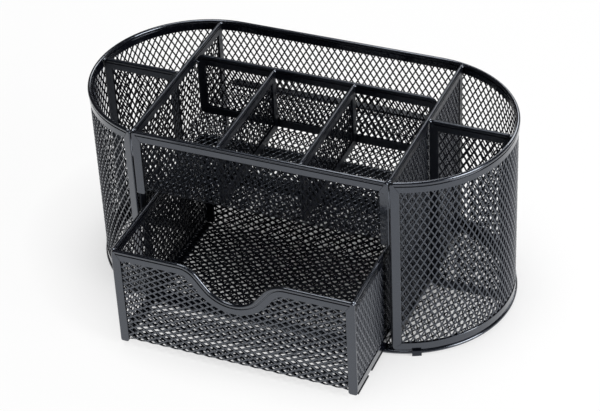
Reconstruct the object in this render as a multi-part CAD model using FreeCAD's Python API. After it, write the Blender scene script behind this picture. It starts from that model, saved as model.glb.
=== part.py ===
import FreeCAD, Part
import math
import os

# Desk pen stand with a drawer.  Every wall, divider and floor is a sheet of expanded steel mesh
# whose raw edges are gripped in a folded steel strip, the binding.  Frame used below, in mm:
# +X right, +Y rear, +Z up, with the desk at z = 0 and the stand's own centre at x = y = 0.
# write() moves everything along Y, so that the origin is the middle of the footprint at rest.

# ---- driving dimensions ----
LENGTH = 220.0            # over the base rim, left to right
DEPTH = 112.0             # over the base rim, front to back
HEIGHT = 103.0            # desk to the top bead
CROSS_X = 65.5            # middle plane of the two cross panels
TRAY_Z = 67.4             # middle of the tray floor
REAR_DIVIDER_Y = 19.5     # middle plane of the long rear divider
SMALL_DIVIDER_X = 21.3    # middle plane of the two small dividers
END_DIVIDER_Y = 1.2       # middle plane of the two end dividers
FRONT_Y = -53.4           # middle plane of the tray front, and of the closed drawer's front

DRAWER_WIDTH = 125.0
DRAWER_HEIGHT = 56.1
DRAWER_LENGTH = 103.0     # front plane to back plane
DRAWER_Z = 3.5            # underside of the drawer's binding
DRAWER_OPEN = 37.8        # how far the drawer stands open at rest

DIP_DEPTH = 17.3          # finger dip in the drawer front
DIP_SLOPE = 52.0          # steepest angle of its edge, degrees
DIP_SHOULDER_R = 12.6
DIP_BOTTOM_R = 16.0

# ---- mesh sheet and binding ----
SHEET_T = 0.7
BEADED_W = 5.8            # width of a binding with a rolled bead, as on every top edge
PLAIN_W = 4.6             # width of a plain folded binding, as on the other edges
BEAD_R = 1.0
LEAF_HALF = 0.7           # half the thickness over the two leaves
NECK_HALF = 0.3           # half the thickness in the crease under the bead
CREASE_END = 2.5
LEAF_START = 2.6
LEAF_EDGE = 0.15
SLOT_Y = 2.8              # the sheet's raw edge sits this far inside a binding's nose
CORNER_R = 2.5
SOFT_CORNER_R = 4.5       # upper corners of the rear divider
FREE_END_R = 1.4
MITRE_GAP = 0.1
FIT_GAP = 0.2             # between pieces that stand against each other
SMALL = 0.01              # for telling one face or point from another
OVER = 2.0                # how far a cutting shape runs past what it cuts

# ---- openings: a plain grid of diamonds, much coarser than real expanded mesh ----
UPRIGHT_CELL = (12.5, 18.0)     # about the width and height of a cell in the upright panels
LYING_CELL = (18.0, 12.5)       # in the tray and the drawer, whose diamonds lie on their sides
BASE_CELL = (18.0, 22.0)
GRID_LAND = 3.0                 # width of the strips of sheet between the openings
WALL_LAND = 5.0

# ---- base ----
CLIP_T = 0.6
CLIP_W = 4.6
CLIP_LIP = 3.4            # how far a clip reaches in under the base rim
CLIP_HOOK = 0.45          # and in over it
CLIP_HEIGHT = 3.1
CLIP_ANGLE = 65.0         # clips on the rounded ends, in front of and behind their middle
CLIP_BACK_X = 30.0        # clips on the straight back
BASE_Z = CLIP_T + BEAD_R  # middle of the base sheet
WALL_Z = BASE_Z + BEAD_R  # underside of the wall
BASE_LIP = 0.4            # the base rim stands out past the wall by this much

# ---- plan of the wall ----
END_R = DEPTH / 2
END_X = LENGTH / 2 - END_R
WALL_R = END_R - BASE_LIP - BEAD_R
WALL_ARC_END = 70.0       # the wall's curve stops at this angle in front of the end's middle
WALL_TANGENT = 7.0        # straight stretch between that curve and the post

TRAY_NOSE_X = 65.9        # half width over the tray front's binding
TRAY_FOOT_DROP = 1.0      # its side strips end this far below the middle of the tray floor
TRAY_BEND_R = 2.5         # inside radius where the tray floor turns up into its front
DRAWER_BEND_R = 2.0
DRAWER_FLOOR_RISE = 0.6   # middle of the drawer floor above the underside of the binding
HEM_T = 0.55              # strips folded under the drawer's sides
HEM_W = 3.2
HEM_GAP = 4.2             # notch left in each of them
HEM_NOTCH_Y = 15.0        # front of the notch, behind the drawer's front plane
WELD_R = 0.9
WELD_SINK = 0.3           # a weld's middle lies this far behind the nose of the bead it joins
SEAM_R = 0.5              # seam welds join the tray front to the posts
SEAM_TOP = 4.0            # from here down, below the top of the stand
SEAM_LENGTH = 12.0

BEAD_INNER = CROSS_X - BEAD_R
CROSS_FRONT = FRONT_Y + BEAD_R + FIT_GAP
WALL_INNER_R = WALL_R - BEAD_R
CROSS_REAR = math.sqrt(WALL_INNER_R ** 2 - (CROSS_X + BEAD_R - END_X) ** 2) - FIT_GAP
PANEL_BOTTOM = BASE_Z + LEAF_HALF
TRAY_TOP = TRAY_Z + SHEET_T / 2
TRAY_HALF = CROSS_X - LEAF_HALF - FIT_GAP
TRAY_REAR = WALL_INNER_R - FIT_GAP
DRAWER_HALF = DRAWER_WIDTH / 2
DRAWER_FRONT_Y = FRONT_Y - DRAWER_OPEN
DRAWER_BACK_Y = DRAWER_FRONT_Y + DRAWER_LENGTH
DRAWER_TOP = DRAWER_Z + DRAWER_HEIGHT
DRAWER_FLOOR_Z = DRAWER_Z + DRAWER_FLOOR_RISE
DRAWER_SIDE_X = DRAWER_HALF - BEAD_R
DRAWER_FLOOR_HALF = DRAWER_SIDE_X - LEAF_HALF - FIT_GAP
ORIGIN_Y = (DRAWER_FRONT_Y - BEAD_R + END_R + CLIP_T) / 2

X, Y, Z = FreeCAD.Vector(1, 0, 0), FreeCAD.Vector(0, 1, 0), FreeCAD.Vector(0, 0, 1)


def vec(x, y, z=0.0):
    return FreeCAD.Vector(x, y, z)


def place(shape, origin, along, inward):
    """Put a shape drawn in local x, y, z at origin, with x along and y inward."""
    normal = along.cross(inward)
    matrix = FreeCAD.Matrix(
        along.x, inward.x, normal.x, origin.x,
        along.y, inward.y, normal.y, origin.y,
        along.z, inward.z, normal.z, origin.z,
        0, 0, 0, 1)
    copy = shape.copy()
    copy.Placement = FreeCAD.Placement(matrix).multiply(copy.Placement)
    return copy


def write(name, solids):
    """Write one node, moved so that the origin is the middle of the footprint at rest."""
    shape = solids[0] if len(solids) == 1 else Part.makeCompound(solids)
    shape = shape.copy()
    shape.translate(vec(0, -ORIGIN_Y))
    shape.exportStep("parts/" + name + ".step")
    print(name, len(shape.Solids), "solids", round(shape.Volume, 1), "mm3", shape.isValid())


def fuse(shapes):
    return shapes[0].multiFuse(shapes[1:]).removeSplitter()


def outline(corners):
    """Flat face from (x, y, corner radius) points, each corner rounded to its radius."""
    count = len(corners)
    starts, ends, arcs = [], [], []
    for i, (x, y, radius) in enumerate(corners):
        here = vec(x, y)
        if radius == 0:
            starts.append(here)
            ends.append(here)
            arcs.append(None)
            continue
        before = (vec(*corners[i - 1][:2]) - here).normalize()
        after = (vec(*corners[(i + 1) % count][:2]) - here).normalize()
        half = before.getAngle(after) / 2
        reach = radius / math.tan(half)
        middle = (before + after).normalize() * (radius / math.sin(half) - radius)
        starts.append(here + before * reach)
        ends.append(here + after * reach)
        arcs.append(Part.Arc(starts[i], here + middle, ends[i]).toShape())
    edges = []
    for i in range(count):
        if arcs[i]:
            edges.append(arcs[i])
        following = starts[(i + 1) % count]
        if ends[i].distanceToPoint(following) > SMALL:
            edges.append(Part.makeLine(ends[i], following))
    return Part.Face(Part.Wire(edges))


def plate(face, thickness):
    """Thicken a flat face evenly to both sides."""
    lowered = face.copy()
    lowered.translate(Z * (-thickness / 2))
    return lowered.extrude(Z * thickness)


def section(width, depth=None):
    """Section of a binding in the local YZ plane, with its nose at y = 0.

    Two leaves grip the sheet in a slot.  The beaded binding has a crease under its rolled bead,
    and the plain one is a simple fold.  A section may be cut off at a depth short of its width.
    """
    slot = SHEET_T / 2
    if width == BEADED_W:
        neck_y = BEAD_R + math.sqrt(BEAD_R ** 2 - NECK_HALF ** 2)
        upper = [(neck_y, NECK_HALF), (CREASE_END, NECK_HALF), (LEAF_START, LEAF_HALF)]
    else:
        upper = [(LEAF_HALF, LEAF_HALF)]
    upper += [(width - LEAF_EDGE, LEAF_HALF), (width, LEAF_HALF - LEAF_EDGE), (width, slot),
              (SLOT_Y, slot)]
    lower = [(y, -z) for y, z in reversed(upper)]
    points = [vec(0, y, z) for y, z in upper + lower]
    nose = Part.Arc(points[-1], vec(0, 0, 0), points[0]).toShape()
    face = Part.Face(Part.Wire(Part.makePolygon(points).Edges + [nose]))
    if depth is None or depth >= width:
        return face
    keep = Part.makeBox(2 * OVER, depth + OVER, 2 * OVER, vec(-OVER, -OVER, -OVER))
    return face.common(keep).Faces[0]


def mitre(width, radius, beside):
    """End of a strip, as seen from above, where it meets a strip of another width."""
    inner = beside + MITRE_GAP
    return [(inner, width + OVER, 0), (inner, width, 0), (radius + MITRE_GAP, radius, 0),
            (radius, radius, 0), (radius, -OVER, 0)]


def rail(length, width, start=None, end=None, free=0.0):
    """A straight binding strip along local +X, its outer edge on y = 0.

    start and end are (corner radius, width of the strip round the corner) for a mitred end,
    which carries its half of the rounded corner.  Without them the end is square, and its
    corners may be rounded by free.
    """
    top = width + OVER
    left = [(0, top, 0), (0, -OVER, 0)]
    right = [(length, -OVER, 0), (length, top, 0)]
    if start:
        left = mitre(width, *start)
    elif free:
        left = [(0, width, free), (0, 0, free)]
    if end:
        right = [(length - x, y, r) for x, y, r in reversed(mitre(width, *end))]
    elif free:
        right = [(length, 0, free), (length, width, free)]
    body = section(width).extrude(X * length).common(plate(outline(left + right), 2 * OVER))
    pieces = [body.Solids[0]]
    if start:
        radius = start[0]
        half = section(width, radius)
        half.translate(X * radius)
        pieces.append(half.revolve(vec(radius, radius), Z, -45))
    if end:
        radius = end[0]
        half = section(width, radius)
        half.translate(X * (length - radius))
        pieces.append(half.revolve(vec(length - radius, radius), Z, 45))
    return pieces[0] if len(pieces) == 1 else fuse(pieces)


def frame(origin, along, up, width, height, upper=CORNER_R):
    """Binding round a whole rectangle: a beaded top strip and three plain ones, mitred."""
    far = origin + along * width
    top = up * height
    foot = (CORNER_R, PLAIN_W)
    beside_top = (upper, PLAIN_W)
    under_top = (upper, BEADED_W)
    return [
        place(rail(width, PLAIN_W, foot, foot), origin, along, up),
        place(rail(height, PLAIN_W, foot, under_top), far, up, along * -1),
        place(rail(width, BEADED_W, beside_top, beside_top), far + top, along * -1, up * -1),
        place(rail(height, PLAIN_W, under_top, foot), origin + top, up * -1, along),
    ]


def grid(field, cell, land_width=GRID_LAND):
    """One diamond-shaped cutter, and its places in a plain grid that fills a flat field.

    The field is (left, low, right, high), and cell is about the width and height of a cell.
    """
    left, low, right, high = field
    columns = max(2, round((right - left) / cell[0]))
    rows = max(2, round((high - low) / cell[1]))
    half_x, half_y = (right - left) / columns / 2, (high - low) / rows / 2
    land = land_width / 2 * math.hypot(half_x, half_y)
    reach_x, reach_y = half_x - land / half_y, half_y - land / half_x
    corners = [(-reach_x, 0, 0), (0, -reach_y, 0), (reach_x, 0, 0), (0, reach_y, 0)]
    places = [(left + i * half_x, low + j * half_y)
              for i in range(1, 2 * columns) for j in range(2 - i % 2, 2 * rows, 2)]
    return plate(outline(corners), 2 * OVER), places


def openings(field, cell, origin, along, up, keep=None):
    """Cutters for a plain grid of openings in a flat sheet."""
    cutter, places = grid(field, cell)
    return [place(cutter, origin + along * x + up * y, along, up)
            for x, y in places if keep is None or keep(x, y)]


def pierced(origin, along, up, field, edge, cell, keep=None):
    """A flat sheet with the given outline and a grid of openings in a field of it."""
    whole = place(plate(edge, SHEET_T), origin, along, up)
    return whole.cut(openings(field, cell, origin, along, up, keep)).Solids[0]


def rectangle(left, low, right, high, top_radius=0.0):
    return outline([(left, low, 0), (right, low, 0), (right, high, top_radius),
                    (left, high, top_radius)])


def sheet(origin, along, up, width, height, upper=CORNER_R):
    """The mesh sheet held inside frame() of the same size."""
    field = (PLAIN_W, PLAIN_W, width - PLAIN_W, height - BEADED_W)
    edge = rectangle(SLOT_Y, SLOT_Y, width - SLOT_Y, height - SLOT_Y, max(upper - SLOT_Y, 0))
    return pierced(origin, along, up, field, edge, UPRIGHT_CELL)


def panel(name, *size):
    write(name + "_mesh", [sheet(*size)])
    write(name + "_binding", frame(*size))


def fold(half_width, bend_y, floor_z, radius, quarter_turn):
    """The bend between a floor and a wall folded up from it, forward for a turn of -90."""
    t = SHEET_T / 2
    low, high = floor_z - t, floor_z + t
    corners = [vec(-half_width, bend_y, low), vec(half_width, bend_y, low),
               vec(half_width, bend_y, high), vec(-half_width, bend_y, high)]
    edge = Part.Face(Part.makePolygon(corners + corners[:1]))
    return edge.revolve(vec(0, bend_y, high + radius), X, quarter_turn)


# ---- outer wall: left end, back and right end in one strip ----
def wall_end():
    """Foot of the right-hand post: the strip's free end, and the direction back along it."""
    angle = math.radians(-WALL_ARC_END)
    inward = vec(-math.sin(angle), math.cos(angle))
    arc_end = vec(END_X + WALL_R * math.cos(angle), WALL_R * math.sin(angle), WALL_Z)
    return arc_end - inward * WALL_TANGENT, inward


def mirrored(shape):
    return shape.mirror(vec(0, 0), X)


def wall_openings():
    """Cutters for the grid in the wall: the flat back and both curved ends."""
    low, high = WALL_Z + PLAIN_W, HEIGHT - BEADED_W
    cutter, places = grid((-END_X, low, END_X, high), UPRIGHT_CELL, WALL_LAND)
    back = [place(cutter, vec(x, WALL_R, z), X, Z) for x, z in places]
    arc = WALL_R * math.radians(90 + WALL_ARC_END)
    cutter, places = grid((0, low, arc, high), UPRIGHT_CELL, WALL_LAND)
    end = []
    for along, z in places:
        turn = math.pi / 2 - along / WALL_R
        point = vec(END_X + WALL_R * math.cos(turn), WALL_R * math.sin(turn), z)
        end.append(place(cutter, point, vec(math.sin(turn), -math.cos(turn)), Z))
    return back + end + [mirrored(c) for c in end]


def wall_sheet():
    foot, inward = wall_end()
    height = HEIGHT - WALL_Z
    flat = outline([(SLOT_Y, SLOT_Y, 0), (WALL_TANGENT, SLOT_Y, 0),
                    (WALL_TANGENT, height - SLOT_Y, 0), (SLOT_Y, height - SLOT_Y, 0)])
    end = place(plate(flat, SHEET_T), foot, inward, Z)
    low = vec(-END_X, WALL_R - SHEET_T / 2, WALL_Z + SLOT_Y)
    back = Part.makeBox(2 * END_X, SHEET_T, height - 2 * SLOT_Y, low)
    edge = [f for f in back.Faces if abs(f.CenterOfMass.x - END_X) < SMALL][0]
    arc = edge.revolve(vec(END_X, 0), Z, -(90 + WALL_ARC_END))
    whole = fuse([end, arc, back, mirrored(arc), mirrored(end)])
    return whole.cut(wall_openings()).Solids[0]


def wall_rim(z, inward_z, width):
    """Binding along the whole top or bottom edge of the wall, between the two posts."""
    foot, inward = wall_end()
    foot.z = z
    end = place(rail(WALL_TANGENT, width, (CORNER_R, PLAIN_W)), foot, inward, inward_z)
    start = place(section(width), vec(-END_X, WALL_R, z), X, inward_z)
    back = start.extrude(X * (2 * END_X))
    edge = place(section(width), vec(END_X, WALL_R, z), X, inward_z)
    arc = edge.revolve(vec(END_X, 0), Z, -(90 + WALL_ARC_END))
    return fuse([end, arc, back, mirrored(arc), mirrored(end)])


def wall_post():
    foot, inward = wall_end()
    post = rail(HEIGHT - WALL_Z, PLAIN_W, (CORNER_R, PLAIN_W), (CORNER_R, BEADED_W))
    return place(post, foot, Z, inward)


# ---- base ----
def base_sheet():
    radius = END_R - SLOT_Y
    half = END_X + radius
    face = outline([(-half, -radius, radius), (half, -radius, radius),
                    (half, radius, radius), (-half, radius, radius)])
    field_x, field_y = END_X + END_R - BEADED_W, END_R - BEADED_W

    def inside(x, y):
        return math.hypot(max(abs(x) - END_X, 0), y) < field_y - BASE_CELL[0] / 2

    cutters = openings((-field_x, -field_y, field_x, field_y), BASE_CELL, vec(0, 0), X, Y, inside)
    flat = plate(face, SHEET_T).cut(cutters).Solids[0]
    flat.translate(Z * BASE_Z)
    return flat


def base_rim():
    """Binding round the base: two straights and two half circles."""
    back = place(section(BEADED_W), vec(-END_X, END_R, BASE_Z), X, Y * -1)
    straight = back.extrude(X * (2 * END_X))
    edge = place(section(BEADED_W), vec(END_X, END_R, BASE_Z), X, Y * -1)
    arc = edge.revolve(vec(END_X, 0), Z, -180)
    front = straight.mirror(vec(0, 0), Y)
    return fuse([straight, arc, front, mirrored(arc)])


def clip_section():
    """Section of a clip in the local YZ plane, y outward from the middle of the rounded end."""
    outer = END_R + CLIP_T
    under, over = END_R - CLIP_LIP, END_R - CLIP_HOOK
    lip = CLIP_HEIGHT - CLIP_T
    points = [(under, 0), (outer, 0), (outer, CLIP_HEIGHT), (over, CLIP_HEIGHT), (over, lip),
              (END_R, lip), (END_R, CLIP_T), (under, CLIP_T)]
    return Part.Face(Part.makePolygon([vec(0, y, z) for y, z in points + points[:1]]))


def base_clips():
    """Clips folded round the base rim, under the wall.  The stand rests on them."""
    clips = []
    width = math.degrees(CLIP_W / END_R)
    for angle in (-CLIP_ANGLE, CLIP_ANGLE):
        blank = clip_section()
        blank.rotate(vec(0, 0), Z, angle - 90 - width / 2)
        blank.translate(X * END_X)
        clip = blank.revolve(vec(END_X, 0), Z, width)
        clips += [clip, mirrored(clip)]
    for x in (-CLIP_BACK_X, CLIP_BACK_X):
        blank = clip_section()
        blank.translate(X * (x - CLIP_W / 2))
        clips.append(blank.extrude(X * CLIP_W))
    return clips


# ---- tray: floor and front folded from one sheet, drawn as solids that meet at the fold ----
def tray_sheet():
    bend_top = TRAY_Z + SHEET_T / 2 + TRAY_BEND_R
    bend_rear = FRONT_Y + SHEET_T / 2 + TRAY_BEND_R
    half = TRAY_NOSE_X - SLOT_Y
    clear = TRAY_NOSE_X - PLAIN_W
    rear = TRAY_REAR - SLOT_Y
    floor = pierced(Z * TRAY_Z, X, Y, (-TRAY_HALF, bend_rear, TRAY_HALF, TRAY_REAR - PLAIN_W),
                    rectangle(-TRAY_HALF, bend_rear, TRAY_HALF, rear), LYING_CELL)
    front = pierced(Y * FRONT_Y, X, Z, (-clear, bend_top, clear, HEIGHT - BEADED_W),
                    rectangle(-half, bend_top, half, HEIGHT - SLOT_Y), LYING_CELL)
    bend = fold(clear - FIT_GAP, bend_rear, TRAY_Z, TRAY_BEND_R, -90)
    return [floor, bend, front]


def tray_front_binding():
    """Top strip and two side strips, whose rounded lower ends stop at the tray floor."""
    foot_z = TRAY_Z - TRAY_FOOT_DROP
    beside = (CORNER_R, PLAIN_W)
    top = rail(2 * TRAY_NOSE_X, BEADED_W, beside, beside)
    top = place(top, vec(TRAY_NOSE_X, FRONT_Y, HEIGHT), X * -1, Z * -1)
    side = rail(HEIGHT - foot_z, PLAIN_W, None, (CORNER_R, BEADED_W), FREE_END_R)
    side = place(side, vec(TRAY_NOSE_X, FRONT_Y, foot_z), Z, X * -1)
    return [top, side, mirrored(side)]


def tray_rear_binding():
    length = 2 * (TRAY_HALF - PLAIN_W)
    nose = vec(-length / 2, TRAY_REAR, TRAY_Z)
    return place(rail(length, PLAIN_W), nose, X, Y * -1)


# ---- drawer ----
def dip_run():
    """Straight stretch between the two arcs of the finger dip's edge, and the dip's half width."""
    slope = math.radians(DIP_SLOPE)
    radii = DIP_SHOULDER_R + DIP_BOTTOM_R
    run = (DIP_DEPTH - radii * (1 - math.cos(slope))) / math.sin(slope)
    return run, radii * math.sin(slope) + run * math.cos(slope)


def dip_edges(inset):
    """Top edge of the drawer front's sheet, left to right, inset from the binding's outer edge."""
    slope = math.radians(DIP_SLOPE)
    half = dip_run()[1]
    shoulder, bottom = DIP_SHOULDER_R - inset, DIP_BOTTOM_R + inset
    crown = vec(-half, DRAWER_TOP - DIP_SHOULDER_R)
    bowl = vec(0, DRAWER_TOP - DIP_DEPTH + DIP_BOTTOM_R)

    def on(centre, radius, turn):
        return centre + vec(math.sin(turn), math.cos(turn)) * radius

    a, b, c = (on(crown, shoulder, slope * k / 2) for k in range(3))
    d, e, f = (on(bowl, -bottom, slope * k) for k in (1, 0, -1))
    g, h, i = (vec(-p.x, p.y) for p in (c, b, a))
    edges = [Part.Arc(a, b, c).toShape(), Part.makeLine(c, d), Part.Arc(d, e, f).toShape(),
             Part.makeLine(f, g), Part.Arc(g, h, i).toShape()]
    return edges, a, i


def drawer_sheet():
    """Front, floor and back folded from one sheet of mesh, as solids that meet at the folds."""
    bend = SHEET_T / 2 + DRAWER_BEND_R
    low, top = DRAWER_FLOOR_Z + bend, DRAWER_TOP - SLOT_Y
    front_bend, back_bend = DRAWER_FRONT_Y + bend, DRAWER_BACK_Y - bend
    half, clear = DRAWER_HALF - SLOT_Y, DRAWER_HALF - PLAIN_W
    upright = (-clear, low, clear, DRAWER_TOP - BEADED_W)
    lying = (-DRAWER_FLOOR_HALF, front_bend, DRAWER_FLOOR_HALF, back_bend)

    dip, first, last = dip_edges(SLOT_Y)
    corners = [last, vec(half, top), vec(half, low), vec(-half, low), vec(-half, top), first]
    dipped = Part.Face(Part.Wire(dip + Part.makePolygon(corners).Edges))
    dip_half = dip_run()[1]

    def below_dip(x, z):
        beside = abs(x) - LYING_CELL[0] / 2 > dip_half
        return beside or z + LYING_CELL[1] / 2 < DRAWER_TOP - DIP_DEPTH - BEADED_W

    front = pierced(Y * DRAWER_FRONT_Y, X, Z, upright, dipped, LYING_CELL, below_dip)
    floor = pierced(Z * DRAWER_FLOOR_Z, X, Y, lying, rectangle(*lying), LYING_CELL)
    back = pierced(Y * DRAWER_BACK_Y, X, Z, upright, rectangle(-half, low, half, top), LYING_CELL)
    bends = [fold(clear - FIT_GAP, y, DRAWER_FLOOR_Z, DRAWER_BEND_R, turn)
             for y, turn in ((front_bend, -90), (back_bend, 90))]
    return [front, floor, back] + bends


def drawer_edge(plane_y):
    """The strip on the right-hand upright edge of the drawer's front or back."""
    strip = rail(DRAWER_HEIGHT, PLAIN_W, None, (CORNER_R, BEADED_W), FREE_END_R)
    return place(strip, vec(DRAWER_HALF, plane_y, DRAWER_Z), Z, X * -1)


def drawer_front_binding():
    """Top strip that follows the finger dip, and a strip down each side."""
    slope = math.radians(DIP_SLOPE)
    run, half = dip_run()
    down = vec(math.cos(slope), 0, -math.sin(slope))
    left = vec(-DRAWER_HALF, DRAWER_FRONT_Y, DRAWER_TOP)
    straight = rail(DRAWER_HALF - half, BEADED_W, (CORNER_R, PLAIN_W))
    straight = place(straight, left, X, Z * -1)
    start = place(section(BEADED_W), vec(-half, DRAWER_FRONT_Y, DRAWER_TOP), X, Z * -1)
    crown = vec(-half, DRAWER_FRONT_Y, DRAWER_TOP - DIP_SHOULDER_R)
    shoulder = start.revolve(crown, Y, DIP_SLOPE)
    turned = start.copy()
    turned.rotate(crown, Y, DIP_SLOPE)
    incline = turned.extrude(down * run)
    low = turned.copy()
    low.translate(down * run)
    bowl = vec(0, DRAWER_FRONT_Y, DRAWER_TOP - DIP_DEPTH + DIP_BOTTOM_R)
    bottom = low.revolve(bowl, Y, -2 * DIP_SLOPE)
    pieces = [straight, shoulder, incline]
    top = fuse(pieces + [bottom] + [mirrored(p) for p in reversed(pieces)])
    side = drawer_edge(DRAWER_FRONT_Y)
    return [top, side, mirrored(side)]


def drawer_back_binding():
    beside = (CORNER_R, PLAIN_W)
    top = rail(DRAWER_WIDTH, BEADED_W, beside, beside)
    top = place(top, vec(DRAWER_HALF, DRAWER_BACK_Y, DRAWER_TOP), X * -1, Z * -1)
    side = drawer_edge(DRAWER_BACK_Y)
    return [top, side, mirrored(side)]


def drawer_side_sheet(front, length):
    """A side of the drawer.  Its raw ends stand against the front and back bindings."""
    foot = vec(DRAWER_SIDE_X, front, DRAWER_Z)
    field = (0, PLAIN_W, length, DRAWER_HEIGHT - BEADED_W)
    edge = rectangle(0, SLOT_Y, length, DRAWER_HEIGHT - SLOT_Y)
    return pierced(foot, Y, Z, field, edge, UPRIGHT_CELL)


def drawer_side_binding(front, length):
    """A beaded strip along the top of a side and a plain one along its foot."""
    top = place(rail(length, BEADED_W), vec(DRAWER_SIDE_X, front, DRAWER_TOP), Y, Z * -1)
    return [top, place(rail(length, PLAIN_W), vec(DRAWER_SIDE_X, front, DRAWER_Z), Y, Z)]


def drawer_hems():
    """Thin strips under the two sides, each with a notch near the front."""
    front = DRAWER_FRONT_Y + BEAD_R
    rear = DRAWER_BACK_Y - BEAD_R
    notch = DRAWER_FRONT_Y + HEM_NOTCH_Y
    hems = []
    for start, end in ((front, notch), (notch + HEM_GAP, rear)):
        corner = vec(DRAWER_HALF - HEM_W, start, DRAWER_Z - HEM_T)
        strip = Part.makeBox(HEM_W, end - start, HEM_T, corner)
        hems += [strip, mirrored(strip)]
    return hems


def nuggets(places):
    """Small weld nuggets, where two bindings meet."""
    return [Part.makeSphere(WELD_R, vec(*p)) for p in places]


def seam_welds():
    """Welds that fill the upper part of the groove between the tray front and each post."""
    top = HEIGHT - SEAM_TOP
    foot = vec(TRAY_NOSE_X + FIT_GAP / 2, FRONT_Y - LEAF_HALF + SEAM_R, top - SEAM_LENGTH)
    seam = Part.makeCylinder(SEAM_R, SEAM_LENGTH, foot)
    return [seam, mirrored(seam)]


def both_sides(places):
    return [(sign * x, y, z) for x, y, z in places for sign in (-1, 1)]


def write_shell():
    """The outer wall with its strips and posts, and the base."""
    write("wall_mesh", [wall_sheet()])
    write("wall_top_rim", [wall_rim(HEIGHT, Z * -1, BEADED_W)])
    write("wall_bottom_rim", [wall_rim(WALL_Z, Z, PLAIN_W)])
    post = wall_post()
    write("right_front_post", [post])
    write("left_front_post", [mirrored(post)])
    write("base_mesh", [base_sheet()])
    write("base_rim", [base_rim()])
    write("base_clips", base_clips())


def write_compartments():
    """The panels and the tray that divide the space inside the wall, and the welds."""
    panel_height = HEIGHT - PANEL_BOTTOM
    tray_height = HEIGHT - TRAY_TOP

    for side, x in (("left", -CROSS_X), ("right", CROSS_X)):
        foot = vec(x, CROSS_FRONT, PANEL_BOTTOM)
        panel(side + "_cross_panel", foot, Y, Z, CROSS_REAR - CROSS_FRONT, panel_height)

    foot = vec(-BEAD_INNER, REAR_DIVIDER_Y, TRAY_TOP)
    panel("rear_divider", foot, X, Z, 2 * BEAD_INNER, tray_height, SOFT_CORNER_R)

    small_rear = REAR_DIVIDER_Y - BEAD_R
    small_front = FRONT_Y + BEAD_R
    for side, x in (("left", -SMALL_DIVIDER_X), ("right", SMALL_DIVIDER_X)):
        foot = vec(x, small_front, TRAY_TOP)
        panel(side + "_small_divider", foot, Y, Z, small_rear - small_front, tray_height)

    end_inner = CROSS_X + BEAD_R
    end_outer = END_X + WALL_INNER_R
    for side, x in (("left", -end_outer), ("right", end_inner)):
        foot = vec(x, END_DIVIDER_Y, PANEL_BOTTOM)
        panel(side + "_end_divider", foot, X, Z, end_outer - end_inner, panel_height)

    write("tray_sheet", tray_sheet())
    write("tray_front_binding", tray_front_binding())
    write("tray_rear_binding", [tray_rear_binding()])

    weld_z = HEIGHT - WELD_R
    write("stand_welds", seam_welds() + nuggets(both_sides([
        (SMALL_DIVIDER_X, small_front + WELD_SINK, weld_z),
        (SMALL_DIVIDER_X, small_rear - WELD_SINK, weld_z),
        (CROSS_X, CROSS_FRONT, weld_z), (CROSS_X, CROSS_REAR, weld_z),
        (end_inner + WELD_SINK, END_DIVIDER_Y, weld_z),
        (end_outer - WELD_SINK, END_DIVIDER_Y, weld_z),
        (BEAD_INNER - WELD_SINK, REAR_DIVIDER_Y, HEIGHT - SOFT_CORNER_R)])))


def write_drawer():
    write("drawer_sheet", drawer_sheet())
    write("drawer_front_binding", drawer_front_binding())
    write("drawer_back_binding", drawer_back_binding())
    front = DRAWER_FRONT_Y + BEAD_R
    rear = DRAWER_BACK_Y - BEAD_R
    sheet_solid = drawer_side_sheet(front, rear - front)
    binding = drawer_side_binding(front, rear - front)
    write("drawer_right_side_mesh", [sheet_solid])
    write("drawer_right_side_binding", binding)
    write("drawer_left_side_mesh", [mirrored(sheet_solid)])
    write("drawer_left_side_binding", [mirrored(strip) for strip in binding])
    write("drawer_hems", drawer_hems())
    weld_z = DRAWER_TOP - WELD_R
    write("drawer_welds", nuggets(both_sides([
        (DRAWER_SIDE_X, front + WELD_SINK, weld_z), (DRAWER_SIDE_X, rear - WELD_SINK, weld_z)])))


def main():
    os.makedirs("parts", exist_ok=True)
    write_shell()
    write_compartments()
    write_drawer()


main()
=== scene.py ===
# %% [markdown]
# # A pen stand with a drawer, in black expanded steel mesh
#
# The real object is a desk organiser.  Every wall, divider and floor is a sheet of expanded
# mesh: a steel sheet cut with rows of short slits and pulled until the slits open into
# diamonds.  The raw edges are gripped in a folded strip, the binding, and the strips are
# spot-welded where they meet.  The whole thing is then painted semi-gloss black.
#
# The construction comes ready made.  Its bindings, posts, clips and hems are exact solids,
# and they stay as they are, with a better finish.  Its mesh sheets are plates with a coarse
# grid of openings, so each is replaced here by a sheet of real, fine diamonds.  The order is:
# load the construction, set the camera, make the mesh, shape the welds, paint, and light.

# %% Load the construction
import math

import bpy
import numpy as np
from mathutils import Matrix, Vector


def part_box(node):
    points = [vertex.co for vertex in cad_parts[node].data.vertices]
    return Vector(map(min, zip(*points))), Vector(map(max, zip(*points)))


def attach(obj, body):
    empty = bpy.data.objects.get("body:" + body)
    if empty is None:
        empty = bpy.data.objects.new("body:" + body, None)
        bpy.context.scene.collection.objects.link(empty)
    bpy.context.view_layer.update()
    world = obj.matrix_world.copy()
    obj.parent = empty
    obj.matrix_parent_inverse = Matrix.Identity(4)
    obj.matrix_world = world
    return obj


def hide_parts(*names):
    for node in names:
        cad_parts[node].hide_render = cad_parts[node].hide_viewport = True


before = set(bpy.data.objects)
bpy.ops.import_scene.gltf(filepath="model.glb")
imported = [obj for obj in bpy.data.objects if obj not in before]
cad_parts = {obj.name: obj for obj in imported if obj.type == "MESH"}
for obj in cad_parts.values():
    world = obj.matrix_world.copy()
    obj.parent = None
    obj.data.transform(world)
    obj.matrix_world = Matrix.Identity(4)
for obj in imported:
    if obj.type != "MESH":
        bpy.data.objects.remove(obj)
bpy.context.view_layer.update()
bpy.ops.object.select_all(action="DESELECT")
MM = 0.001

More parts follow.
